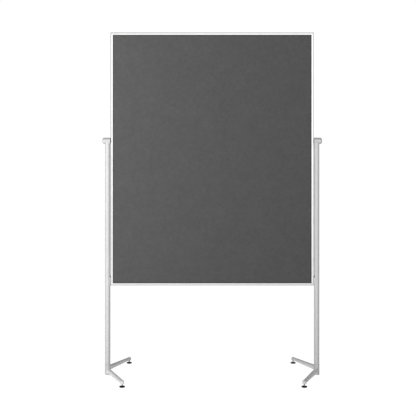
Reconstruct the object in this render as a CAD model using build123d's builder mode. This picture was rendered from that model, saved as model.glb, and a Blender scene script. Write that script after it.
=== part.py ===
from build123d import *
import math
import os

os.makedirs("parts", exist_ok=True)

# A two-sided pin board that hangs between two posts and turns about a
# horizontal axle in the posts' heads. Millimetres, +Z up, front face towards
# -Y. The origin is on the floor, midway between the posts and the legs.

# ---------------------------------------------------------------- dimensions
# board
FIELD_W = 1200.0            # visible felt field
FIELD_H = 1500.0
FACE = 14.0                 # width of the frame's face
BOARD_W = FIELD_W + 2 * FACE
BOARD_H = FIELD_H + 2 * FACE
BOARD_BOTTOM = 540.0
BOARD_TOP = BOARD_BOTTOM + BOARD_H
BOARD_MID = (BOARD_BOTTOM + BOARD_TOP) / 2
HALF_W = BOARD_W / 2
HALF_T = 10.0               # half the frame's depth
RIM_R = 5.0                 # rounding of the frame's outer edges
WALL = 1.8
CHAMBER_END = 5.0           # the key chamber lies between WALL and this
CHAMBER_HALF = 7.0
CHANNEL_START = 6.5         # the panel channel is open from here inward
FELT_T = 1.6
CORE_T = 13.0
FELT_OUT = CORE_T / 2 + FELT_T
FIELD_RISE = 0.3            # the felt is pinched thinner where the lips hold it
FIELD_GAP = 0.3             # hairline between the felt field and the lips
TUCK = 6.5                  # how far the panel reaches into the channel
MITRE_GAP = 0.12            # half the hairline at each mitre

# pivot
PIVOT_Z = 1414.0
AXLE_R = 6.0
THREAD_R = 5.0
HEAD_R = 19.0
HEAD_IN = 615.5
HEAD_OUT = 652.0
CAP_OUT = 664.0
CAP_ROUND = 12.0
BUSH_R = 8.0
CAVITY_R = 12.0
CAVITY_IN = 636.4
PLATE_IN = HALF_W - CHAMBER_END + 0.1
PLATE_OUT = HALF_W - WALL - 0.1

# posts and hubs
POST_X = 632.0
POST_R = 16.0
POST_WALL = 2.0
HUB_R = 16.5
HUB_BOTTOM = 1.0
HUB_TOP = 66.0
SPIGOT_R = POST_R - POST_WALL - 0.05

# catches
CATCH_BOTTOM = 541.5
CATCH_TOP = 589.5
CATCH_IN = 614.7
CATCH_HALF_Y = 9.5
BUFFER_TOP = 597.0

# legs and levelling feet
APEX_Z_FRONT = 27.0         # the legs' axes meet the post's axis at two heights,
APEX_Z_REAR = 40.0          # so that their studs pass each other in the hub
TIP_X = 522.0
TIP_Y = 270.0
TIP_Z = 29.5
ROOT_A, ROOT_B = 11.7, 12.9     # half width and half height at the hub
TIP_A, TIP_B = 11.3, 7.7        # and where it runs into the nose
ROOT_ROUND, TIP_ROUND = 7.2, 6.8    # rounding of the leg's section
NOSE_R = 11.7                   # the nose stands just proud of the arm
NOSE_BOTTOM = 20.0
NOSE_TOP = 37.8
NOSE_ROUND = 6.5
INSERT_R = 6.4
INSERT_TOP = 34.6
STUD_R = 4.0
STUD_TOP = 34.4
PAD_R = 16.5
PAD_TOP = 7.4


def save(block, name):
    block.part.label = name
    export_step(block.part, f"parts/{name}.step")


def mirrored(source, name):
    """The left-hand twin of a right-hand piece."""
    with BuildPart() as twin:
        add(source.part.mirror(Plane.YZ))
    save(twin, name)


# --------------------------------------------------------------- frame rails
def rail(origin, run, length, mitres, axle_hole=None):
    """A frame profile along `run`, cut by the mitre planes at its ends.

    The profile's own y axis points from the frame's outer edge inward.
    """
    section = Plane(origin=origin, x_dir=(0, 1, 0), z_dir=run)
    with BuildPart() as piece:
        with BuildSketch(section):
            with BuildLine():
                Line((-HALF_T + RIM_R, 0), (HALF_T - RIM_R, 0))
                TangentArc((HALF_T - RIM_R, 0), (HALF_T, RIM_R), tangent=(1, 0))
                Line((HALF_T, RIM_R), (HALF_T, FACE - 0.5))
                TangentArc((HALF_T, FACE - 0.5), (HALF_T - 0.5, FACE), tangent=(0, 1))
                Line((HALF_T - 0.5, FACE), (FELT_OUT, FACE))
                Polyline(
                    (FELT_OUT, FACE),
                    (FELT_OUT, CHANNEL_START),
                    (-FELT_OUT, CHANNEL_START),
                    (-FELT_OUT, FACE),
                )
                Line((-FELT_OUT, FACE), (-HALF_T + 0.5, FACE))
                TangentArc((-HALF_T + 0.5, FACE), (-HALF_T, FACE - 0.5), tangent=(-1, 0))
                Line((-HALF_T, FACE - 0.5), (-HALF_T, RIM_R))
                TangentArc((-HALF_T, RIM_R), (-HALF_T + RIM_R, 0), tangent=(0, -1))
            make_face()
            with Locations((0, (WALL + CHAMBER_END) / 2)):
                Rectangle(2 * CHAMBER_HALF, CHAMBER_END - WALL, mode=Mode.SUBTRACT)
        extrude(amount=length / 2, both=True)
        for point, away in mitres:
            normal = Vector(*away).normalized()
            split(
                bisect_by=Plane(origin=Vector(*point) - normal * MITRE_GAP, z_dir=normal),
                keep=Keep.BOTTOM,
            )
        if axle_hole:
            side = axle_hole
            wall = Plane(
                origin=(side * (HALF_W + 1), 0, PIVOT_Z), x_dir=(0, 1, 0), z_dir=(-side, 0, 0)
            )
            with BuildSketch(wall):
                Circle(AXLE_R + 0.05)
            extrude(amount=WALL + 1.5, mode=Mode.SUBTRACT)
            with BuildSketch(wall):
                with Locations((0, 30), (0, -30)):
                    Circle(2.05)
            extrude(amount=WALL + 1.5, mode=Mode.SUBTRACT)
            # countersinks for the pivot plate's screws
            for dz in (30, -30):
                with BuildSketch(
                    Plane(
                        origin=(side * HALF_W, 0, PIVOT_Z + dz),
                        x_dir=(0, 1, 0),
                        z_dir=(-side, 0, 0),
                    )
                ):
                    Circle(3.85)
                extrude(amount=1.75, taper=45, mode=Mode.SUBTRACT)
    return piece


tl = (-HALF_W, 0, BOARD_TOP)
tr = (HALF_W, 0, BOARD_TOP)
bl = (-HALF_W, 0, BOARD_BOTTOM)
br = (HALF_W, 0, BOARD_BOTTOM)

frame_top_rail = rail((0, 0, BOARD_TOP), (-1, 0, 0), BOARD_W, [(tl, (-1, 0, -1)), (tr, (1, 0, -1))])
save(frame_top_rail, "frame_top_rail")
frame_bottom_rail = rail((0, 0, BOARD_BOTTOM), (1, 0, 0), BOARD_W, [(bl, (-1, 0, 1)), (br, (1, 0, 1))])
save(frame_bottom_rail, "frame_bottom_rail")
frame_right_stile = rail(
    (HALF_W, 0, BOARD_MID), (0, 0, 1), BOARD_H, [(tr, (-1, 0, 1)), (br, (-1, 0, -1))], axle_hole=1
)
save(frame_right_stile, "frame_right_stile")
frame_left_stile = rail(
    (-HALF_W, 0, BOARD_MID), (0, 0, -1), BOARD_H, [(tl, (1, 0, 1)), (bl, (1, 0, -1))], axle_hole=-1
)
save(frame_left_stile, "frame_left_stile")

# ---------------------------------------- corner keys and their grub screws
KEY_LEG = 62.0
key_lo = WALL + 0.1
key_hi = CHAMBER_END - 0.1
corners = [(-1, -1), (1, -1), (1, 1), (-1, 1)]


def corner_point(sx, sz, across, down):
    """A point measured inward from an outer corner of the frame."""
    return (sx * (HALF_W - across), (BOARD_TOP - down) if sz > 0 else (BOARD_BOTTOM + down))


with BuildPart() as corner_keys:
    for sx, sz in corners:
        with BuildSketch(Plane.XZ.offset(CHAMBER_HALF - 0.1)):
            with BuildLine():
                Polyline(
                    corner_point(sx, sz, key_lo, key_lo),
                    corner_point(sx, sz, KEY_LEG, key_lo),
                    corner_point(sx, sz, KEY_LEG, key_hi),
                    corner_point(sx, sz, key_hi, key_hi),
                    corner_point(sx, sz, key_hi, KEY_LEG),
                    corner_point(sx, sz, key_lo, KEY_LEG),
                    close=True,
                )
            make_face()
        extrude(amount=-2 * (CHAMBER_HALF - 0.1))
    # grub screw seats, one in each leg of each key
    for sx, sz in corners:
        for across, down, along in ((45, 0, "z"), (0, 45, "x")):
            x, z = corner_point(sx, sz, across or key_lo, down or key_lo)
            if along == "z":
                seat = Plane(origin=(x, 0, z - sz * (key_hi - key_lo - 1.4)), z_dir=(0, 0, -sz))
            else:
                seat = Plane(origin=(x - sx * (key_hi - key_lo - 1.4), 0, z), z_dir=(-sx, 0, 0))
            with BuildSketch(seat):
                Circle(2.05)
            extrude(amount=2.0, mode=Mode.SUBTRACT)
save(corner_keys, "corner_keys")

with BuildPart() as corner_key_screws:
    for sx, sz in corners:
        for across, down, along in ((45, 0, "z"), (0, 45, "x")):
            x, z = corner_point(sx, sz, across or key_hi, down or key_hi)
            if along == "z":
                seat = Plane(origin=(x, 0, z + sz * 1.35), z_dir=(0, 0, -sz))
            else:
                seat = Plane(origin=(x + sx * 1.35, 0, z), z_dir=(-sx, 0, 0))
            with BuildSketch(seat):
                Circle(2.0)
            extrude(amount=2.9)
            with BuildSketch(seat.offset(1.7)):
                RegularPolygon(radius=1.0, side_count=6, major_radius=False)
            extrude(amount=1.3, mode=Mode.SUBTRACT)
save(corner_key_screws, "corner_key_screws")


def tapped_rail(source, name, holes):
    """Adds the holes that the key's grub screws pass through in the web."""
    with BuildPart() as piece:
        add(source.part)
        for origin, direction in holes:
            with BuildSketch(Plane(origin=origin, z_dir=direction)):
                Circle(2.05)
            extrude(amount=CHANNEL_START - CHAMBER_END + 1.0, mode=Mode.SUBTRACT)
    save(piece, name)
    return piece


web = CHAMBER_END - 0.5
frame_top_rail = tapped_rail(
    frame_top_rail,
    "frame_top_rail",
    [((s * (HALF_W - 45), 0, BOARD_TOP - web), (0, 0, -1)) for s in (-1, 1)],
)
frame_bottom_rail = tapped_rail(
    frame_bottom_rail,
    "frame_bottom_rail",
    [((s * (HALF_W - 45), 0, BOARD_BOTTOM + web), (0, 0, 1)) for s in (-1, 1)],
)
frame_right_stile = tapped_rail(
    frame_right_stile,
    "frame_right_stile",
    [((HALF_W - web, 0, z), (-1, 0, 0)) for z in (BOARD_BOTTOM + 45, BOARD_TOP - 45)],
)
frame_left_stile = tapped_rail(
    frame_left_stile,
    "frame_left_stile",
    [((-HALF_W + web, 0, z), (1, 0, 0)) for z in (BOARD_BOTTOM + 45, BOARD_TOP - 45)],
)

# ---------------------------------------------------- core and the two felts
PANEL_W = FIELD_W + 2 * TUCK
PANEL_H = FIELD_H + 2 * TUCK
with BuildPart() as board_core:
    with BuildSketch(Plane.XZ.offset(CORE_T / 2)):
        with Locations((0, BOARD_MID)):
            Rectangle(PANEL_W, PANEL_H)
    extrude(amount=-CORE_T)
save(board_core, "board_core")

with BuildPart() as felt_front:
    with BuildSketch(Plane.XZ.offset(FELT_OUT)):
        with Locations((0, BOARD_MID)):
            Rectangle(PANEL_W, PANEL_H)
    extrude(amount=-FELT_T)
    with BuildSketch(Plane.XZ.offset(FELT_OUT + FIELD_RISE)):
        with Locations((0, BOARD_MID)):
            Rectangle(FIELD_W - 2 * FIELD_GAP, FIELD_H - 2 * FIELD_GAP)
    extrude(amount=-FIELD_RISE - 0.5)
save(felt_front, "felt_front")

with BuildPart() as felt_rear:
    with BuildSketch(Plane.XZ.offset(-CORE_T / 2)):
        with Locations((0, BOARD_MID)):
            Rectangle(PANEL_W, PANEL_H)
    extrude(amount=-FELT_T)
    with BuildSketch(Plane.XZ.offset(-FELT_OUT + 0.5)):
        with Locations((0, BOARD_MID)):
            Rectangle(FIELD_W - 2 * FIELD_GAP, FIELD_H - 2 * FIELD_GAP)
    extrude(amount=-FIELD_RISE - 0.5)
save(felt_rear, "felt_rear")

# --------------------------------------------------- pivot pieces, right side
along_x = dict(x_dir=(0, 1, 0), z_dir=(1, 0, 0))

with BuildPart() as pivot_plate_right:
    with BuildSketch(Plane(origin=(PLATE_IN, 0, PIVOT_Z), **along_x)):
        RectangleRounded(2 * (CHAMBER_HALF - 0.1), 90, 2)
        Circle(AXLE_R + 0.02, mode=Mode.SUBTRACT)
        with Locations((0, 30), (0, -30)):
            Circle(2.02, mode=Mode.SUBTRACT)
    extrude(amount=PLATE_OUT - PLATE_IN)
save(pivot_plate_right, "pivot_plate_right")
mirrored(pivot_plate_right, "pivot_plate_left")

with BuildPart() as pivot_plate_screws:
    for side in (1, -1):
        for dz in (30, -30):
            seat = Plane(
                origin=(side * (HALF_W - 0.05), 0, PIVOT_Z + dz),
                x_dir=(0, 1, 0),
                z_dir=(-side, 0, 0),
            )
            with BuildSketch(seat):
                Circle(3.7)
            extrude(amount=1.7, taper=45)
            with BuildSketch(seat):
                Circle(2.0)
            extrude(amount=HALF_W - 0.05 - PLATE_IN)
            with BuildSketch(seat):
                RegularPolygon(radius=1.25, side_count=6, major_radius=False)
            extrude(amount=1.2, mode=Mode.SUBTRACT)
save(pivot_plate_screws, "pivot_plate_screws")

with BuildPart() as pivot_axle_right:
    with BuildSketch(Plane.XZ):
        with BuildLine():
            Polyline(
                (PLATE_IN, PIVOT_Z),
                (PLATE_IN, PIVOT_Z + AXLE_R),
                (637.0, PIVOT_Z + AXLE_R),
                (637.0, PIVOT_Z + THREAD_R),
                (647.5, PIVOT_Z + THREAD_R),
                (648.5, PIVOT_Z + THREAD_R - 1.0),
                (648.5, PIVOT_Z),
                close=True,
            )
        make_face()
    revolve(axis=Axis((0, 0, PIVOT_Z), (1, 0, 0)))
save(pivot_axle_right, "pivot_axle_right")
mirrored(pivot_axle_right, "pivot_axle_left")

with BuildPart() as axle_washers:
    for side in (1, -1):
        with BuildSketch(
            Plane(origin=(side * 637.0, 0, PIVOT_Z), x_dir=(0, 1, 0), z_dir=(side, 0, 0))
        ):
            Circle(10.0)
            Circle(THREAD_R + 0.05, mode=Mode.SUBTRACT)
        extrude(amount=1.5)
save(axle_washers, "axle_washers")

with BuildPart() as axle_lock_nuts:
    for side in (1, -1):
        with BuildSketch(
            Plane(origin=(side * 638.5, 0, PIVOT_Z), x_dir=(0, 1, 0), z_dir=(side, 0, 0))
        ):
            RegularPolygon(radius=8.5, side_count=6, major_radius=False)
            Circle(THREAD_R + 0.02, mode=Mode.SUBTRACT)
        extrude(amount=7.0)
        with BuildSketch(
            Plane(origin=(side * 645.5, 0, PIVOT_Z), x_dir=(0, 1, 0), z_dir=(side, 0, 0))
        ):
            Circle(7.4)
            Circle(THREAD_R + 0.02, mode=Mode.SUBTRACT)
        extrude(amount=2.0)
save(axle_lock_nuts, "axle_lock_nuts")

with BuildPart() as pivot_bush_right:
    with BuildSketch(Plane(origin=(HALF_W + 0.3, 0, PIVOT_Z), **along_x)):
        Circle(11.0)
    extrude(amount=HEAD_IN - HALF_W - 0.3)
    with BuildSketch(Plane(origin=(HEAD_IN, 0, PIVOT_Z), **along_x)):
        Circle(BUSH_R - 0.03)
    extrude(amount=20.0)
    with BuildSketch(Plane(origin=(HALF_W, 0, PIVOT_Z), **along_x)):
        Circle(AXLE_R + 0.05)
    extrude(amount=30.0, mode=Mode.SUBTRACT)
save(pivot_bush_right, "pivot_bush_right")
mirrored(pivot_bush_right, "pivot_bush_left")

# ------------------------------------------------------------ heads and caps
SPIGOT_TOP_DROP = 75.0
SET_SCREW_Z = PIVOT_Z - 48.0
with BuildPart() as head_right:
    with BuildSketch(Plane(origin=(HEAD_IN, 0, PIVOT_Z), **along_x)):
        Circle(HEAD_R)
    extrude(amount=HEAD_OUT - HEAD_IN)
    # a fine break of the barrel's inner edge
    chamfer(edges().filter_by(GeomType.CIRCLE).sort_by(Axis.X)[0], length=0.8)
    with BuildSketch(Plane.XY.offset(PIVOT_Z - SPIGOT_TOP_DROP)):
        with Locations((POST_X, 0)):
            Circle(SPIGOT_R)
    extrude(amount=SPIGOT_TOP_DROP)
    chamfer(
        edges().filter_by(GeomType.CIRCLE).group_by(Axis.Z)[0],
        length=1.5,
    )
    # lightening bore in the spigot
    with BuildSketch(Plane.XY.offset(PIVOT_Z - SPIGOT_TOP_DROP)):
        with Locations((POST_X, 0)):
            Circle(9.0)
    extrude(amount=SPIGOT_TOP_DROP - 24.0, mode=Mode.SUBTRACT)
    # bush bore and nut cavity
    with BuildSketch(Plane(origin=(HEAD_IN, 0, PIVOT_Z), **along_x)):
        Circle(BUSH_R)
    extrude(amount=CAVITY_IN - HEAD_IN, mode=Mode.SUBTRACT)
    with BuildSketch(Plane(origin=(CAVITY_IN, 0, PIVOT_Z), **along_x)):
        Circle(CAVITY_R)
    extrude(amount=HEAD_OUT - CAVITY_IN, mode=Mode.SUBTRACT)
    # grub screw hole at the rear
    with BuildSketch(Plane(origin=(POST_X, 5, SET_SCREW_Z), z_dir=(0, 1, 0))):
        Circle(3.02)
    extrude(amount=15, mode=Mode.SUBTRACT)
save(head_right, "head_right")
mirrored(head_right, "head_left")

with BuildPart() as head_cap_right:
    with BuildSketch(Plane.XZ):
        with BuildLine():
            Line((HEAD_OUT, PIVOT_Z), (HEAD_OUT, PIVOT_Z + HEAD_R))
            Line((HEAD_OUT, PIVOT_Z + HEAD_R), (HEAD_OUT + 0.4, PIVOT_Z + HEAD_R))
            TangentArc(
                (HEAD_OUT + 0.4, PIVOT_Z + HEAD_R),
                (CAP_OUT - 0.4, PIVOT_Z + HEAD_R - CAP_ROUND + 0.8),
                tangent=(1, 0),
            )
            Spline(
                (CAP_OUT - 0.4, PIVOT_Z + HEAD_R - CAP_ROUND + 0.8),
                (CAP_OUT, PIVOT_Z),
                tangents=((0.2, -1), (0, -1)),
            )
            Line((CAP_OUT, PIVOT_Z), (HEAD_OUT, PIVOT_Z))
        make_face()
    revolve(axis=Axis((0, 0, PIVOT_Z), (1, 0, 0)))
    with BuildSketch(Plane(origin=(HEAD_OUT, 0, PIVOT_Z), x_dir=(0, 1, 0), z_dir=(-1, 0, 0))):
        Circle(CAVITY_R - 0.05)
        Circle(CAVITY_R - 2.0, mode=Mode.SUBTRACT)
    extrude(amount=4.0)
save(head_cap_right, "head_cap_right")
mirrored(head_cap_right, "head_cap_left")

# --------------------------------------------------------------------- posts
with BuildPart() as post_right:
    with BuildSketch(Plane.XY.offset(HUB_TOP + 0.25)):
        with Locations((POST_X, 0)):
            Circle(POST_R)
            Circle(POST_R - POST_WALL, mode=Mode.SUBTRACT)
    extrude(amount=PIVOT_Z - HUB_TOP - 0.25)
    # the tube's end is saddled to sit against the head's barrel
    with BuildSketch(Plane(origin=(HEAD_IN - 5, 0, PIVOT_Z), **along_x)):
        Circle(HEAD_R + 0.03)
    extrude(amount=60, mode=Mode.SUBTRACT)
    with BuildSketch(Plane(origin=(POST_X, 5, SET_SCREW_Z), z_dir=(0, 1, 0))):
        Circle(3.05)
    extrude(amount=15, mode=Mode.SUBTRACT)
    # holes for the catch's screws in the inner side
    for z in (553.0, 578.0):
        with BuildSketch(Plane(origin=(POST_X - POST_R - 1, 0, z), **along_x)):
            Circle(1.52)
        extrude(amount=4, mode=Mode.SUBTRACT)
save(post_right, "post_right")
mirrored(post_right, "post_left")

with BuildPart() as head_set_screws:
    for side in (1, -1):
        seat = Plane(origin=(side * POST_X, 9.4, SET_SCREW_Z), z_dir=(0, 1, 0))
        with BuildSketch(seat):
            Circle(3.0)
        extrude(amount=6.2)
        with BuildSketch(seat.offset(3.2)):
            RegularPolygon(radius=1.5, side_count=6, major_radius=False)
        extrude(amount=3.5, mode=Mode.SUBTRACT)
save(head_set_screws, "head_set_screws")

# ------------------------------------------------------------------- catches
CATCH_DEEP_X = 622.5
with BuildPart() as catch_block_right:
    with BuildSketch(Plane.XY.offset(CATCH_BOTTOM)):
        with Locations(((CATCH_IN + CATCH_DEEP_X) / 2, 0)):
            Rectangle(CATCH_DEEP_X - CATCH_IN, 2 * CATCH_HALF_Y)
        with Locations((POST_X, 0)):
            Circle(POST_R + 0.02, mode=Mode.SUBTRACT)
    extrude(amount=CATCH_TOP - CATCH_BOTTOM)
    fillet(
        edges().filter_by(Axis.Z).sort_by(Axis.X)[0:2],
        radius=0.9,
    )
    # countersunk screw seats
    for z in (553.0, 578.0):
        with BuildSketch(Plane(origin=(CATCH_IN, 0, z), **along_x)):
            Circle(2.5)
        extrude(amount=0.95, taper=45, mode=Mode.SUBTRACT)
        with BuildSketch(Plane(origin=(CATCH_IN, 0, z), **along_x)):
            Circle(1.56)
        extrude(amount=4, mode=Mode.SUBTRACT)
    # pockets for the magnet bars, either side of the screws
    for y in (6.3, -6.3):
        with BuildSketch(Plane(origin=(CATCH_IN + 0.5, y, 565.5), **along_x)):
            Rectangle(3.0, 32.0)
        extrude(amount=1.5, mode=Mode.SUBTRACT)
save(catch_block_right, "catch_block_right")
mirrored(catch_block_right, "catch_block_left")

with BuildPart() as catch_magnets:
    for side in (1, -1):
        for y in (6.3, -6.3):
            with BuildSketch(
                Plane(
                    origin=(side * (CATCH_IN + 0.5), y, 565.5), x_dir=(0, 1, 0), z_dir=(side, 0, 0)
                )
            ):
                Rectangle(3.0, 32.0)
            extrude(amount=1.5)
save(catch_magnets, "catch_magnets")

with BuildPart() as catch_screws:
    for side in (1, -1):
        for z in (553.0, 578.0):
            seat = Plane(
                origin=(side * (CATCH_IN + 0.05), 0, z), x_dir=(0, 1, 0), z_dir=(side, 0, 0)
            )
            with BuildSketch(seat):
                Circle(2.4)
            extrude(amount=0.9, taper=45)
            with BuildSketch(seat):
                Circle(1.5)
            extrude(amount=4.6)
            with BuildSketch(seat):
                RegularPolygon(radius=0.8, side_count=6, major_radius=False)
            extrude(amount=0.7, mode=Mode.SUBTRACT)
save(catch_screws, "catch_screws")

with BuildPart() as catch_buffer_right:
    with BuildSketch(Plane.XY.offset(CATCH_TOP)):
        with Locations(((CATCH_IN + CATCH_DEEP_X) / 2 - 0.6, 0)):
            Rectangle(CATCH_DEEP_X - CATCH_IN - 1.2, 2 * CATCH_HALF_Y - 1.0)
        with Locations((POST_X, 0)):
            Circle(POST_R + 0.02, mode=Mode.SUBTRACT)
    extrude(amount=BUFFER_TOP - CATCH_TOP)
    fillet(edges().filter_by(Axis.Z).sort_by(Axis.X)[0:2], radius=0.8)
save(catch_buffer_right, "catch_buffer_right")
mirrored(catch_buffer_right, "catch_buffer_left")

# ------------------------------------------------------------ legs, direction
def leg_axis(front):
    apex = Vector(POST_X, 0, APEX_Z_FRONT if front else APEX_Z_REAR)
    tip = Vector(TIP_X, -TIP_Y if front else TIP_Y, TIP_Z)
    run = tip - apex
    return apex, tip, run.normalized(), run.length


def leg_plane(front, s):
    """A plane across the leg's axis, s from the post's axis, its y axis nearly up."""
    apex, tip, d, _ = leg_axis(front)
    side = d.cross(Vector(0, 0, 1)).normalized()
    return Plane(origin=apex + d * s, x_dir=side, z_dir=d)


# ---------------------------------------------------------------------- hubs
with BuildPart() as foot_hub_right:
    with BuildSketch(Plane.XY.offset(HUB_BOTTOM)):
        with Locations((POST_X, 0)):
            Circle(HUB_R)
    extrude(amount=HUB_TOP - HUB_BOTTOM)
    chamfer(edges().filter_by(GeomType.CIRCLE).sort_by(Axis.Z)[0], length=0.8)
    chamfer(edges().filter_by(GeomType.CIRCLE).sort_by(Axis.Z)[-1], length=0.7)
    with BuildSketch(Plane.XY.offset(HUB_TOP - 1)):
        with Locations((POST_X, 0)):
            Circle(SPIGOT_R)
    extrude(amount=51)
    chamfer(edges().filter_by(GeomType.CIRCLE).sort_by(Axis.Z)[-1], length=1.5)
    # bolt way up the middle, with a seat for the head underneath
    with BuildSketch(Plane.XY.offset(HUB_BOTTOM)):
        with Locations((POST_X, 0)):
            Circle(7.6)
    extrude(amount=9.5, mode=Mode.SUBTRACT)
    with BuildSketch(Plane.XY.offset(HUB_BOTTOM)):
        with Locations((POST_X, 0)):
            Circle(4.2)
    extrude(amount=130, mode=Mode.SUBTRACT)
    # tapped holes for the leg studs
    for front in (True, False):
        with BuildSketch(leg_plane(front, 6.4)):
            Circle(STUD_R + 0.02)
        extrude(amount=20, mode=Mode.SUBTRACT)
save(foot_hub_right, "foot_hub_right")
mirrored(foot_hub_right, "foot_hub_left")

with BuildPart() as hub_bolts:
    for side in (1, -1):
        with BuildSketch(Plane.XY.offset(HUB_BOTTOM + 1.5)):
            with Locations((side * POST_X, 0)):
                Circle(6.5)
        extrude(amount=8.0)
        with BuildSketch(Plane.XY.offset(HUB_BOTTOM + 9.5)):
            with Locations((side * POST_X, 0)):
                Circle(4.0)
        extrude(amount=133.0)
        with BuildSketch(Plane.XY.offset(HUB_BOTTOM + 1.5)):
            with Locations((side * POST_X, 0)):
                RegularPolygon(radius=3.0, side_count=6, major_radius=False)
        extrude(amount=4.5, mode=Mode.SUBTRACT)
save(hub_bolts, "hub_bolts")

with BuildPart() as post_plug_right:
    with BuildSketch(Plane.XY.offset(120.0)):
        with Locations((POST_X, 0)):
            Circle(SPIGOT_R)
            Circle(4.02, mode=Mode.SUBTRACT)
    extrude(amount=30.0)
    chamfer(edges().filter_by(GeomType.CIRCLE).group_by(Axis.Z)[-1], length=1.0)
save(post_plug_right, "post_plug_right")
mirrored(post_plug_right, "post_plug_left")


# ---------------------------------------------------------------------- legs
def leg(front):
    """A tapered arm of rounded section from the hub to a rounded nose."""
    apex, tip, d, length = leg_axis(front)
    with BuildPart() as piece:
        with BuildSketch(leg_plane(front, 4.0)):
            RectangleRounded(2 * ROOT_A, 2 * ROOT_B, ROOT_ROUND)
        with BuildSketch(leg_plane(front, length - 3.0)):
            RectangleRounded(2 * TIP_A, 2 * TIP_B, TIP_ROUND)
        loft()
        # the nose: an upright round boss with a rounded top edge
        with BuildSketch(Plane(origin=(tip.X, tip.Y, 0), x_dir=(1, 0, 0), z_dir=(0, -1, 0))):
            with BuildLine():
                Polyline(
                    (NOSE_R - NOSE_ROUND, NOSE_TOP),
                    (0, NOSE_TOP),
                    (0, NOSE_BOTTOM),
                    (NOSE_R - 1.0, NOSE_BOTTOM),
                    (NOSE_R, NOSE_BOTTOM + 1.0),
                    (NOSE_R, NOSE_TOP - NOSE_ROUND),
                )
                TangentArc(
                    (NOSE_R, NOSE_TOP - NOSE_ROUND),
                    (NOSE_R - NOSE_ROUND, NOSE_TOP),
                    tangent=(0, 1),
                )
            make_face()
        revolve(axis=Axis((tip.X, tip.Y, 0), (0, 0, 1)))
        # saddled to the hub
        with BuildSketch(Plane.XY.offset(-20)):
            with Locations((POST_X, 0)):
                Circle(HUB_R + 0.02)
        extrude(amount=120, mode=Mode.SUBTRACT)
        # nothing of the root may stand on the hub's far side
        with BuildSketch(leg_plane(front, -60)):
            Rectangle(120, 120)
        extrude(amount=60 + 8.0, mode=Mode.SUBTRACT)
        # stud hole at the root and insert hole in the nose
        with BuildSketch(leg_plane(front, 5)):
            Circle(STUD_R + 0.02)
        extrude(amount=41.0, mode=Mode.SUBTRACT)
        with BuildSketch(Plane.XY.offset(NOSE_BOTTOM - 1)):
            with Locations((tip.X, tip.Y)):
                Circle(INSERT_R)
        extrude(amount=INSERT_TOP - NOSE_BOTTOM + 1, mode=Mode.SUBTRACT)
    return piece


leg_front_right = leg(True)
save(leg_front_right, "leg_front_right")
mirrored(leg_front_right, "leg_front_left")
leg_rear_right = leg(False)
save(leg_rear_right, "leg_rear_right")
mirrored(leg_rear_right, "leg_rear_left")

with BuildPart() as leg_studs:
    for front in (True, False):
        with BuildSketch(leg_plane(front, 6.6)):
            Circle(STUD_R)
        extrude(amount=36.0)
    mirror(about=Plane.YZ)
save(leg_studs, "leg_studs")

# ------------------------------------------------ inserts and levelling feet
tips = {
    "front_right": (TIP_X, -TIP_Y),
    "rear_right": (TIP_X, TIP_Y),
    "front_left": (-TIP_X, -TIP_Y),
    "rear_left": (-TIP_X, TIP_Y),
}

with BuildPart() as foot_inserts:
    for x, y in tips.values():
        with BuildSketch(Plane.XY.offset(NOSE_BOTTOM - 0.4)):
            with Locations((x, y)):
                Circle(INSERT_R - 0.02)
                Circle(STUD_R + 0.05, mode=Mode.SUBTRACT)
        extrude(amount=INSERT_TOP - NOSE_BOTTOM + 0.35)
save(foot_inserts, "foot_inserts")

for where, (x, y) in tips.items():
    turn_axis = Axis((x, y, 0), (0, 0, 1))
    section = Plane(origin=(x, y, 0), x_dir=(1, 0, 0), z_dir=(0, -1, 0))
    with BuildPart() as foot_stud:
        with BuildSketch(section):
            with BuildLine():
                Polyline(
                    (0, 2.5),
                    (6.0, 2.5),
                    (6.0, 4.4),
                    (STUD_R, 4.4),
                    (STUD_R, STUD_TOP - 0.8),
                    (STUD_R - 0.8, STUD_TOP),
                    (0, STUD_TOP),
                    close=True,
                )
            make_face()
        revolve(axis=turn_axis)
    save(foot_stud, f"foot_stud_{where}")
    with BuildPart() as foot_pad:
        with BuildSketch(section):
            with BuildLine():
                Polyline(
                    (0, 0),
                    (PAD_R - 1.6, 0),
                    (PAD_R - 0.3, 1.5),
                    (PAD_R, 2.8),
                    (PAD_R, 4.6),
                    (PAD_R - 0.9, 5.6),
                    (7.8, 6.4),
                    (7.0, PAD_TOP),
                    (STUD_R + 0.02, PAD_TOP),
                    (STUD_R + 0.02, 4.42),
                    (6.02, 4.42),
                    (6.02, 2.48),
                    (0, 2.48),
                    close=True,
                )
            make_face()
        revolve(axis=turn_axis)
    save(foot_pad, f"foot_pad_{where}")
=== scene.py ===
import math

import bpy
import numpy as np
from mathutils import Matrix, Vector, noise


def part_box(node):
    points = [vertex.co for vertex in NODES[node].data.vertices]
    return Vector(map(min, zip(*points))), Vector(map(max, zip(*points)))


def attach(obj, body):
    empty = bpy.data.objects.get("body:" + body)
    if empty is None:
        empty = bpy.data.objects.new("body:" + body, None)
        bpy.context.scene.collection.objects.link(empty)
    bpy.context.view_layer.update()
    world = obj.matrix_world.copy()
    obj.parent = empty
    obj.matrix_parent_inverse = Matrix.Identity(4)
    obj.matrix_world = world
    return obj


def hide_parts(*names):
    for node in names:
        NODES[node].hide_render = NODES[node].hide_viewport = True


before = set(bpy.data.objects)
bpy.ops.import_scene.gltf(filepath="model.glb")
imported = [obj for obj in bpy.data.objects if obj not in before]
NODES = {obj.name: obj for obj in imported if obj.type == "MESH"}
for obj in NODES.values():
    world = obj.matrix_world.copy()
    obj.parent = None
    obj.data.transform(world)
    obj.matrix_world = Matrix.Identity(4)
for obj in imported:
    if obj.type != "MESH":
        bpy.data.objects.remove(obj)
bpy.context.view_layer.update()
scene = bpy.context.scene

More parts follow.
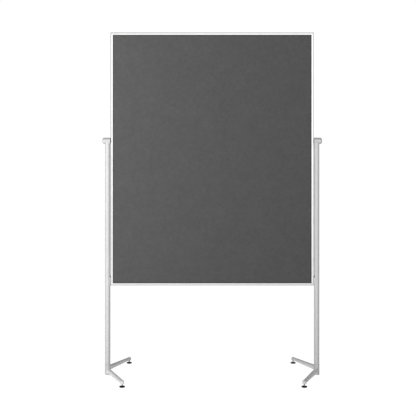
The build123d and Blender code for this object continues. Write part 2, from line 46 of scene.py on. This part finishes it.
# ------------------------------------------------------------------ camera
cam_data = bpy.data.cameras.new("camera")
cam_data.sensor_width = 36.0
cam_data.lens = 72.95
cam_data.shift_x = 0.0365
cam_data.shift_y = -0.1416
cam_data.clip_end = 60.0
cam = bpy.data.objects.new("camera", cam_data)
scene.collection.objects.link(cam)
cam.location = (-0.117, -5.1, 1.364)
cam.rotation_euler = (math.radians(90), 0, 0)
scene.camera = cam
scene.view_settings.view_transform = "Standard"


# --------------------------------------------------------------- materials
class Nodes:
    """A small helper that builds one material's node tree."""

    def __init__(self, name):
        self.mat = bpy.data.materials.new(name)
        self.mat.use_nodes = True
        self.tree = self.mat.node_tree
        self.tree.nodes.clear()
        self.out = self.tree.nodes.new("ShaderNodeOutputMaterial")
        self.bsdf = self.tree.nodes.new("ShaderNodeBsdfPrincipled")
        self.link(self.bsdf.outputs["BSDF"], self.out.inputs["Surface"])
        self.coord = self.tree.nodes.new("ShaderNodeTexCoord").outputs["Object"]

    def link(self, a, b):
        self.tree.links.new(a, b)

    def set(self, **values):
        for key, value in values.items():
            self.bsdf.inputs[key.replace("_", " ")].default_value = value

    def mapped(self, scale=(1, 1, 1), turn=(0, 0, 0), offset=(0, 0, 0)):
        n = self.tree.nodes.new("ShaderNodeMapping")
        self.link(self.coord, n.inputs["Vector"])
        n.inputs["Scale"].default_value = scale
        n.inputs["Rotation"].default_value = turn
        n.inputs["Location"].default_value = offset
        return n.outputs["Vector"]

    def noise(self, scale, detail=3.0, rough=0.55, distort=0.0, vector=None):
        n = self.tree.nodes.new("ShaderNodeTexNoise")
        n.inputs["Scale"].default_value = scale
        n.inputs["Detail"].default_value = detail
        n.inputs["Roughness"].default_value = rough
        n.inputs["Distortion"].default_value = distort
        self.link(vector if vector is not None else self.coord, n.inputs["Vector"])
        return n.outputs["Fac"]

    def voronoi(self, scale, feature="F1", vector=None, out="Distance"):
        n = self.tree.nodes.new("ShaderNodeTexVoronoi")
        n.feature = feature
        n.inputs["Scale"].default_value = scale
        self.link(vector if vector is not None else self.coord, n.inputs["Vector"])
        return n.outputs[out]

    def math(self, op, a, b=0.0, c=None, clamp=False):
        n = self.tree.nodes.new("ShaderNodeMath")
        n.operation = op
        n.use_clamp = clamp
        for i, v in enumerate((a, b) if c is None else (a, b, c)):
            if isinstance(v, (int, float)):
                n.inputs[i].default_value = v
            else:
                self.link(v, n.inputs[i])
        return n.outputs[0]

    def spread(self, value, lo, hi, to_lo=0.0, to_hi=1.0):
        n = self.tree.nodes.new("ShaderNodeMapRange")
        n.clamp = True
        self.link(value, n.inputs["Value"])
        n.inputs["From Min"].default_value = lo
        n.inputs["From Max"].default_value = hi
        n.inputs["To Min"].default_value = to_lo
        n.inputs["To Max"].default_value = to_hi
        return n.outputs["Result"]

    def ramp(self, value, *stops):
        n = self.tree.nodes.new("ShaderNodeValToRGB")
        self.link(value, n.inputs["Fac"])
        e = n.color_ramp.elements
        while len(e) < len(stops):
            e.new(0.5)
        for item, (pos, colour) in zip(e, stops):
            item.position = pos
            item.color = (*colour, 1.0)
        return n.outputs["Color"]

    def mix(self, fac, a, b, blend="MIX"):
        n = self.tree.nodes.new("ShaderNodeMix")
        n.data_type = "RGBA"
        n.blend_type = blend
        n.clamp_factor = True
        ins = {"f": n.inputs[0], "a": n.inputs[6], "b": n.inputs[7]}
        for key, v in (("f", fac), ("a", a), ("b", b)):
            if isinstance(v, (int, float)):
                ins[key].default_value = v
            elif isinstance(v, tuple):
                ins[key].default_value = (*v, 1.0)
            else:
                self.link(v, ins[key])
        return n.outputs[2]

    def bump(self, height, distance, strength=1.0, below=None):
        n = self.tree.nodes.new("ShaderNodeBump")
        n.inputs["Strength"].default_value = strength
        n.inputs["Distance"].default_value = distance
        self.link(height, n.inputs["Height"])
        if below is not None:
            self.link(below, n.inputs["Normal"])
        return n.outputs["Normal"]

    def height_z(self):
        n = self.tree.nodes.new("ShaderNodeSeparateXYZ")
        self.link(self.coord, n.inputs[0])
        return n.outputs["Z"]


lo_f, hi_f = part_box("felt_front")
FIELD_MID = (lo_f[2] + hi_f[2]) / 2


def grey(v, warm=0.0):
    return (v * (1 + warm), v, v * (1 - warm))


def felt_material():
    n = Nodes("felt_needle_punched")
    # needle-punched polyester: dense short fibres lying every way, slightly
    # lighter strands over a darker base, with soft clouds from the carding
    clouds = n.noise(9.0, 4.0, 0.6)
    patches = n.noise(46.0, 4.0, 0.62, 0.4)
    tufts = n.noise(210.0, 3.0, 0.6, 0.8)
    strands = []
    for turn, seed in ((0.35, 0.0), (1.25, 3.7), (2.15, 7.1), (2.85, 11.3)):
        v = n.mapped((260.0, 260.0, 2600.0), (0.0, turn, 0.0), (seed, seed * 0.7, seed * 1.3))
        strands.append(n.noise(1.0, 3.0, 0.55, 1.6, v))
    fibre = strands[0]
    for s in strands[1:]:
        fibre = n.math("MAXIMUM", fibre, s)
    fine = n.noise(1500.0, 2.0, 0.6)
    body = n.math("ADD", n.math("MULTIPLY", clouds, 0.10), n.math("MULTIPLY", patches, 0.22))
    body = n.math("ADD", body, n.math("MULTIPLY", tufts, 0.34))
    body = n.math("ADD", body, n.math("MULTIPLY", fibre, 0.38))
    tone = n.ramp(
        body,
        (0.36, grey(0.054)),
        (0.50, grey(0.072)),
        (0.60, grey(0.086)),
        (0.74, grey(0.107)),
    )
    # stray lighter fibres
    light = n.spread(fibre, 0.70, 0.80, 0.0, 0.55)
    tone = n.mix(light, tone, grey(0.15))
    # scattered darker flecks where the fibres part
    fleck = n.spread(n.voronoi(150.0), 0.0, 0.16, 0.45, 0.0)
    tone = n.mix(n.math("MULTIPLY", fleck, n.spread(tufts, 0.45, 0.7)), tone, grey(0.045))
    # painted shade: darker along the frame's lips, standing in for the lip's shadow on the recessed felt
    sep = n.tree.nodes.new("ShaderNodeSeparateXYZ")
    n.link(n.coord, sep.inputs[0])
    from_x = n.math("SUBTRACT", 0.600, n.math("ABSOLUTE", sep.outputs["X"]))
    from_z = n.math("SUBTRACT", 0.750, n.math("ABSOLUTE", n.math("SUBTRACT", sep.outputs["Z"], FIELD_MID)))
    near = n.math("ADD", n.math("MINIMUM", from_x, from_z), n.spread(tufts, 0.3, 0.7, -0.0012, 0.0012))
    painted_lip_shade = n.spread(near, 0.001, 0.0085, 0.62, 0.0)
    tone = n.mix(painted_lip_shade, tone, grey(0.022))
    n.link(tone, n.bsdf.inputs["Base Color"])
    n.link(n.spread(fibre, 0.3, 0.8, 0.98, 0.86), n.bsdf.inputs["Roughness"])
    n.set(Sheen_Weight=0.18, Sheen_Roughness=0.6, Specular_IOR_Level=0.2)
    n.bsdf.inputs["Sheen Tint"].default_value = (0.75, 0.75, 0.76, 1.0)
    low = n.bump(tufts, 0.0009, 0.5)
    mid = n.bump(fibre, 0.0006, 0.8, low)
    n.link(n.bump(fine, 0.0002, 0.6, mid), n.bsdf.inputs["Normal"])
    return n.mat


def metal(name, base, rough, metallic=1.0, lines=None, line_depth=0.00001, grain=0.0,
          warm=0.0, wear=0.25, peel=None, scuff_below=None, spec=0.5):
    """Silver metal with brushing, faint scratches, hand marks and uneven gloss."""
    n = Nodes(name)
    haze = n.noise(7.0, 4.0, 0.6, 0.3)
    smudge = n.noise(31.0, 5.0, 0.65, 0.7)
    tone = n.mix(
        n.spread(haze, 0.32, 0.7), grey(base * 0.965, warm), grey(min(base * 1.02, 0.96), warm)
    )
    tone = n.mix(n.spread(smudge, 0.56, 0.72, 0.0, 0.35), tone, grey(base * 0.93, warm))
    gloss = n.math("ADD", n.spread(smudge, 0.3, 0.75, rough - 0.05, rough + 0.07),
                   n.spread(haze, 0.3, 0.7, -0.025, 0.025))
    normal = None
    if lines:
        v = n.mapped(lines)
        brush = n.noise(1.0, 4.0, 0.7, 0.0, v)
        tone = n.mix(n.spread(brush, 0.52, 0.78, 0.0, 0.22), tone, grey(base * 0.86, warm))
        gloss = n.math("ADD", gloss, n.spread(brush, 0.3, 0.7, -0.035, 0.05))
        normal = n.bump(brush, line_depth, 0.6)
    if grain:
        flakes = n.voronoi(2600.0, out="Color")
        sep = n.tree.nodes.new("ShaderNodeSeparateColor")
        n.link(flakes, sep.inputs[0])
        tone = n.mix(n.spread(sep.outputs[0], 0.55, 1.0, 0.0, grain), tone, grey(min(base * 1.22, 0.97), warm))
        tone = n.mix(n.spread(sep.outputs[1], 0.75, 1.0, 0.0, grain * 0.8), tone, grey(base * 0.72, warm))
    if peel:
        normal = n.bump(n.noise(peel, 3.0, 0.5), 0.000012, 0.3, normal)
    # hairline scratches, sparse
    v = n.mapped((90.0, 90.0, 1400.0), (0.5, 0.9, 0.2))
    hair = n.spread(n.noise(1.0, 2.0, 0.5, 2.2, v), 0.735, 0.765, 0.0, wear)
    tone = n.mix(hair, tone, grey(min(base * 1.25, 0.97)))
    gloss = n.math("ADD", gloss, n.math("MULTIPLY", hair, 0.16), clamp=True)
    if scuff_below:
        z = n.height_z()
        low = n.spread(z, 0.0, scuff_below, 1.0, 0.0)
        dust = n.math("MULTIPLY", low, n.spread(n.noise(60.0, 5.0, 0.7, 0.6), 0.45, 0.75, 0.0, 0.25))
        tone = n.mix(dust, tone, grey(base * 0.62, 0.015))
        gloss = n.math("ADD", gloss, n.math("MULTIPLY", dust, 0.22), clamp=True)
    n.link(tone, n.bsdf.inputs["Base Color"])
    n.link(gloss, n.bsdf.inputs["Roughness"])
    n.set(Metallic=metallic, Specular_IOR_Level=spec)
    if normal is not None:
        n.link(normal, n.bsdf.inputs["Normal"])
    return n.mat


def moulded(name, colour, rough, grain_scale=900.0, depth=0.00008, dust=0.12, tint=None, rubber=False):
    """Moulded plastic or rubber with a fine erosion texture, handling shine and dust."""
    n = Nodes(name)
    grain = n.noise(grain_scale, 3.0, 0.6)
    pits = n.voronoi(grain_scale * 0.7)
    broad = n.noise(38.0, 4.0, 0.6, 0.5)
    lo = tuple(c * 0.82 for c in colour)
    hi = tint or tuple(min(1.0, c * 1.25 + 0.006) for c in colour)
    tone = n.mix(n.spread(broad, 0.35, 0.7), lo, hi)
    tone = n.mix(n.spread(grain, 0.55, 0.75, 0.0, 0.3), tone, tuple(min(1.0, c * 1.5 + 0.01) for c in colour))
    specks = n.spread(n.noise(420.0, 4.0, 0.7, 0.4), 0.64, 0.72, 0.0, dust)
    tone = n.mix(specks, tone, (0.42, 0.41, 0.39))
    n.link(tone, n.bsdf.inputs["Base Color"])
    rougher = n.math("ADD", n.spread(broad, 0.3, 0.75, rough - 0.07, rough + 0.07),
                     n.spread(grain, 0.3, 0.7, -0.04, 0.05), clamp=True)
    n.link(rougher, n.bsdf.inputs["Roughness"])
    n.set(Specular_IOR_Level=0.35 if rubber else 0.5)
    low = n.bump(pits, depth, 0.4)
    n.link(n.bump(grain, depth, 0.6, low), n.bsdf.inputs["Normal"])
    return n.mat


def board_material():
    n = Nodes("honeycomb_board")
    flute = n.noise(1.0, 3.0, 0.6, 0.2, n.mapped((40.0, 900.0, 40.0)))
    pulp = n.noise(520.0, 4.0, 0.7)
    tone = n.ramp(flute, (0.3, (0.36, 0.26, 0.16)), (0.7, (0.52, 0.40, 0.26)))
    tone = n.mix(n.spread(pulp, 0.5, 0.75, 0.0, 0.4), tone, (0.28, 0.20, 0.12))
    n.link(tone, n.bsdf.inputs["Base Color"])
    n.link(n.spread(pulp, 0.3, 0.7, 0.82, 0.97), n.bsdf.inputs["Roughness"])
    n.link(n.bump(pulp, 0.0003, 0.6), n.bsdf.inputs["Normal"])
    return n.mat


M = {
    "felt": felt_material(),
    # painted reflection: the stiles' base (0.90) is lighter than the rails' (0.83), standing in for the
    # brighter reflection the stiles' brushing direction gives; both are the same anodised aluminium
    "rail_x": metal("anodised_rail_painted_shade", 0.83, 0.36, 1.0, lines=(9.0, 2600.0, 2600.0), wear=0.08, grain=0.03),
    "rail_z": metal("anodised_stile_painted_highlight", 0.90, 0.36, 1.0, lines=(2600.0, 2600.0, 9.0), wear=0.08, grain=0.03),
    "post": metal("silver_lacquer_tube", 0.74, 0.56, 0.55,
                  grain=0.05, peel=520.0, scuff_below=0.35, wear=0.06),
    "cast": metal("silver_lacquer_casting", 0.70, 0.56, 0.55, grain=0.06, peel=340.0, wear=0.06),
    "leg": metal("silver_lacquer_leg", 0.84, 0.58, 0.35, grain=0.06, peel=340.0, wear=0.08, scuff_below=0.06),
    "zinc": metal("zinc_plated_steel", 0.62, 0.3, 1.0, lines=(1800.0, 1800.0, 300.0), wear=0.3, warm=0.01),
    "nickel": metal("nickel_plate", 0.70, 0.18, 1.0, wear=0.35, warm=0.02),
    "bush": moulded("nylon_bush", (0.10, 0.10, 0.105), 0.5),
    "catch": moulded("grey_moulded_catch", (0.66, 0.66, 0.65), 0.42, 700.0, 0.00005, 0.05,
                     tint=(0.74, 0.74, 0.73)),
    "rubber": moulded("black_rubber", (0.055, 0.055, 0.055), 0.66, 700.0, 0.0001, 0.04, rubber=True),
    "pad": moulded("black_pad", (0.003, 0.003, 0.003), 0.58, 900.0, 0.00008, 0.02, rubber=True),
    "board": board_material(),
}

for name, node in NODES.items():
    if name in ("frame_top_rail", "frame_bottom_rail"):
        key = "rail_x"
    elif name.startswith("frame_"):
        key = "rail_z"
    elif name.startswith("post_plug") or name.startswith("pivot_bush"):
        key = "bush"
    elif name.startswith("post_"):
        key = "post"
    elif name.startswith("head_set"):
        key = "zinc"
    elif name.startswith(("head_", "foot_hub")):
        key = "cast"
    elif name.startswith("leg_s"):
        key = "zinc"
    elif name.startswith("leg_"):
        key = "leg"
    elif name.startswith("foot_pad"):
        key = "pad"
    elif name.startswith("catch_block"):
        key = "catch"
    elif name.startswith("catch_buffer"):
        key = "rubber"
    elif name == "catch_magnets":
        key = "nickel"
    elif name == "board_core":
        key = "board"
    elif name.startswith("felt"):
        key = "felt"
    else:
        key = "zinc"
    node.data.materials.clear()
    node.data.materials.append(M[key])


def add_mesh(name, verts, faces, material, smooth=True):
    mesh = bpy.data.meshes.new(name)
    mesh.from_pydata(verts, [], faces)
    mesh.validate()
    mesh.update()
    if smooth:
        mesh.polygons.foreach_set("use_smooth", [True] * len(mesh.polygons))
    mesh.materials.append(material)
    obj = bpy.data.objects.new(name, mesh)
    scene.collection.objects.link(obj)
    return obj


# ------------------------------------------------------------ the felt skins
def lines_along(lo, hi, lip, step):
    """Grid lines: close together beside the frame's lip, wider across the field."""
    near = [0.0, 0.003, 0.0055, lip, lip + 0.0012, lip + 0.0030, lip + 0.0055, lip + 0.0095]
    left = [lo + d for d in near]
    right = [hi - d for d in reversed(near)]
    count = max(2, round((right[0] - left[-1]) / step))
    middle = [left[-1] + (right[0] - left[-1]) * i / count for i in range(1, count)]
    return left + middle + right


def felt_skin(name, node, side):
    """Needle felt pulled over the core: pinched by the frame's lip, fuller in the field."""
    lo, hi = (Vector(c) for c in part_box(node))
    inner = hi.y if side < 0 else lo.y
    outer = lo.y if side < 0 else hi.y
    lip = 0.0065
    xs = lines_along(lo.x, hi.x, lip, 0.0105)
    zs = lines_along(lo.z, hi.z, lip, 0.0105)
    nx, nz = len(xs), len(zs)
    verts = []
    for layer in (0, 1):
        for z in zs:
            for x in xs:
                if layer:
                    y = inner
                else:
                    gap = min(x - lo.x, hi.x - x, z - lo.z, hi.z - z) - lip
                    full = 0.0 if gap <= 0 else min(1.0, gap / 0.0095)
                    full = full * full * (3 - 2 * full)
                    wave = noise.fractal(Vector((x * 9.0 + side, z * 9.0, 3.1)), 1.0, 2.0, 3)
                    lump = noise.noise(Vector((x * 70.0, z * 70.0, 5.0 * side)))
                    rise = full * (0.00034 + 0.00010 * wave + 0.00007 * lump)
                    y = outer + side * (rise - 0.00034)
                verts.append((x, y, z))
    faces = []
    at = lambda layer, i, j: layer * nx * nz + j * nx + i
    for j in range(nz - 1):
        for i in range(nx - 1):
            f = (at(0, i, j), at(0, i + 1, j), at(0, i + 1, j + 1), at(0, i, j + 1))
            b = (at(1, i, j), at(1, i, j + 1), at(1, i + 1, j + 1), at(1, i + 1, j))
            faces += [f, b] if side < 0 else [f[::-1], b[::-1]]
    rim = ([(i, 0) for i in range(nx)] + [(nx - 1, j) for j in range(1, nz)]
           + [(i, nz - 1) for i in range(nx - 2, -1, -1)] + [(0, j) for j in range(nz - 2, 0, -1)])
    for k, (i, j) in enumerate(rim):
        i2, j2 = rim[(k + 1) % len(rim)]
        f = (at(0, i, j), at(1, i, j), at(1, i2, j2), at(0, i2, j2))
        faces.append(f if side < 0 else f[::-1])
    obj = add_mesh(name, verts, faces, M["felt"])
    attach(obj, "board")
    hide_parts(node)
    return obj


felt_skin("felt_skin_front", "felt_front", -1)
felt_skin("felt_skin_rear", "felt_rear", 1)


# --------------------------------------------------- threaded levelling studs
def threaded_stud(name, node, body):
    """An M8 stud with a real thread, run-outs and a flange inside the pad."""
    lo, hi = (Vector(c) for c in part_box(node))
    cx, cy = (lo.x + hi.x) / 2, (lo.y + hi.y) / 2
    pitch, root, crest = 0.00125, 0.00338, 0.00398
    z0, z1 = lo.z + 0.0019, hi.z
    seg = 28
    rings = [(lo.z, 0.0), (lo.z, 0.0056), (lo.z + 0.0004, 0.006), (lo.z + 0.0015, 0.006),
             (lo.z + 0.0019, 0.0056), (lo.z + 0.0019, 0.0037)]
    verts, faces = [], []

    def ring(z_of, r_of):
        start = len(verts)
        for k in range(seg):
            a = 2 * math.pi * k / seg
            r = r_of(a)
            verts.append((cx + r * math.cos(a), cy + r * math.sin(a), z_of(a)))
        return start

    def thread_r(z, a):
        turn = (z / pitch - a / (2 * math.pi)) % 1.0
        tri = 1 - abs(2 * turn - 1)
        depth = min(1.0, max(0.0, (tri - 0.12) / 0.70))
        r = root + (crest - root) * depth
        start = min(1.0, max(0.0, (z - z0 - 0.0006) / 0.0012))
        end = min(1.0, max(0.0, (z1 - z) / 0.0011))
        r = root + (r - root) * start
        return min(r, root - 0.0006 + 0.0012 * end + (crest - root) * end)

    starts = []
    for z, r in rings[1:]:
        starts.append(ring(lambda a, z=z: z, lambda a, r=r: r))
    steps = int((z1 - z0) / 0.000165)
    for i in range(1, steps + 1):
        z = z0 + (z1 - z0) * i / steps
        starts.append(ring(lambda a, z=z: z, lambda a, z=z: thread_r(z, a)))
    for a, b in zip(starts, starts[1:]):
        for k in range(seg):
            k2 = (k + 1) % seg
            faces.append((a + k, a + k2, b + k2, b + k))
    bottom, top = len(verts), len(verts) + 1
    verts += [(cx, cy, lo.z), (cx, cy, z1)]
    for k in range(seg):
        k2 = (k + 1) % seg
        faces.append((bottom, starts[0] + k2, starts[0] + k))
        faces.append((top, starts[-1] + k, starts[-1] + k2))
    obj = add_mesh(name, verts, faces, M["zinc"], smooth=False)
    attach(obj, body)
    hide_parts(node)
    return obj


for where in ("front_right", "rear_right", "front_left", "rear_left"):
    threaded_stud(f"threaded_stud_{where}", f"foot_stud_{where}", f"levelling_foot_{where}")

# -------------------------------------------------------------------- stage
floor_mat = Nodes("studio_floor")
floor_mat.set(Roughness=0.85, Specular_IOR_Level=0.15)
floor_mat.bsdf.inputs["Base Color"].default_value = (0.90, 0.90, 0.90, 1)
floor_mat.bsdf.inputs["Emission Color"].default_value = (1, 1, 1, 1)
# painted glow: the floor emits light strongly well in front of the object and dimly under it, standing in for
# a pool of light that bounces onto the object
f_sep = floor_mat.tree.nodes.new("ShaderNodeSeparateXYZ")
floor_mat.link(floor_mat.coord, f_sep.inputs[0])
f_glow = floor_mat.spread(f_sep.outputs["Y"], -2.4, -0.5, 0.52, 0.08)
floor_mat.link(f_glow, floor_mat.bsdf.inputs["Emission Strength"])
# the camera sees the cut-out white of the backdrop; only the bounce is lit
f_white = floor_mat.tree.nodes.new("ShaderNodeEmission")
f_white.inputs["Strength"].default_value = 1.02
f_path = floor_mat.tree.nodes.new("ShaderNodeLightPath")
f_mix = floor_mat.tree.nodes.new("ShaderNodeMixShader")
f_out = next(n for n in floor_mat.tree.nodes if n.bl_idname == "ShaderNodeOutputMaterial")
floor_mat.link(f_path.outputs["Is Camera Ray"], f_mix.inputs[0])
floor_mat.link(floor_mat.bsdf.outputs[0], f_mix.inputs[1])
floor_mat.link(f_white.outputs[0], f_mix.inputs[2])
floor_mat.link(f_mix.outputs[0], f_out.inputs["Surface"])
bpy.ops.mesh.primitive_plane_add(size=30.0, location=(0, 0, 0))
floor = bpy.context.object
floor.name = "studio_floor"
floor.data.materials.append(floor_mat.mat)

world = bpy.data.worlds.new("studio")
scene.world = world
world.use_nodes = True
wt = world.node_tree
wt.nodes.clear()
w_out = wt.nodes.new("ShaderNodeOutputWorld")
w_cam = wt.nodes.new("ShaderNodeBackground")
w_cam.inputs["Color"].default_value = (1, 1, 1, 1)
w_cam.inputs["Strength"].default_value = 1.02
w_light = wt.nodes.new("ShaderNodeBackground")
w_mix = wt.nodes.new("ShaderNodeMixShader")
w_path = wt.nodes.new("ShaderNodeLightPath")
w_coord = wt.nodes.new("ShaderNodeTexCoord")
w_sep = wt.nodes.new("ShaderNodeSeparateXYZ")
wt.links.new(w_coord.outputs["Generated"], w_sep.inputs[0])


def w_math(op, a, b):
    n = wt.nodes.new("ShaderNodeMath")
    n.operation = op
    for i, v in enumerate((a, b)):
        if isinstance(v, (int, float)):
            n.inputs[i].default_value = v
        else:
            wt.links.new(v, n.inputs[i])
    return n.outputs[0]


# a bright wall in front, dimmer all round
ahead = w_math("MAXIMUM", w_math("MULTIPLY", w_sep.outputs["Y"], -1.0), 0.0)
ahead = w_math("POWER", ahead, 4.0)
strength = w_math("ADD", 0.34, w_math("MULTIPLY", ahead, 1.32))
strength = w_math("ADD", strength, w_math("MULTIPLY", w_sep.outputs["Y"], -0.05))
strength = w_math("ADD", strength, w_math("MULTIPLY", w_sep.outputs["X"], 0.04))
above = w_math("MAXIMUM", w_sep.outputs["Z"], 0.0)
strength = w_math("ADD", strength, w_math("MULTIPLY", above, -0.22))
wt.links.new(strength, w_light.inputs["Strength"])
w_light.inputs["Color"].default_value = (1, 1, 1, 1)
wt.links.new(w_path.outputs["Is Camera Ray"], w_mix.inputs[0])
wt.links.new(w_light.outputs[0], w_mix.inputs[1])
wt.links.new(w_cam.outputs[0], w_mix.inputs[2])
wt.links.new(w_mix.outputs[0], w_out.inputs["Surface"])


def area(name, place, aim, size, power):
    data = bpy.data.lights.new(name, "AREA")
    data.shape = "RECTANGLE"
    data.size, data.size_y = size
    data.energy = power
    obj = bpy.data.objects.new(name, data)
    scene.collection.objects.link(obj)
    obj.location = place
    obj.rotation_euler = (Vector(aim) - Vector(place)).to_track_quat("-Z", "Y").to_euler()
    obj.visible_glossy = False
    return obj


area("key", (-1.85, -1.35, 1.6), (-0.5, 0, 1.2), (1.6, 2.6), 44)
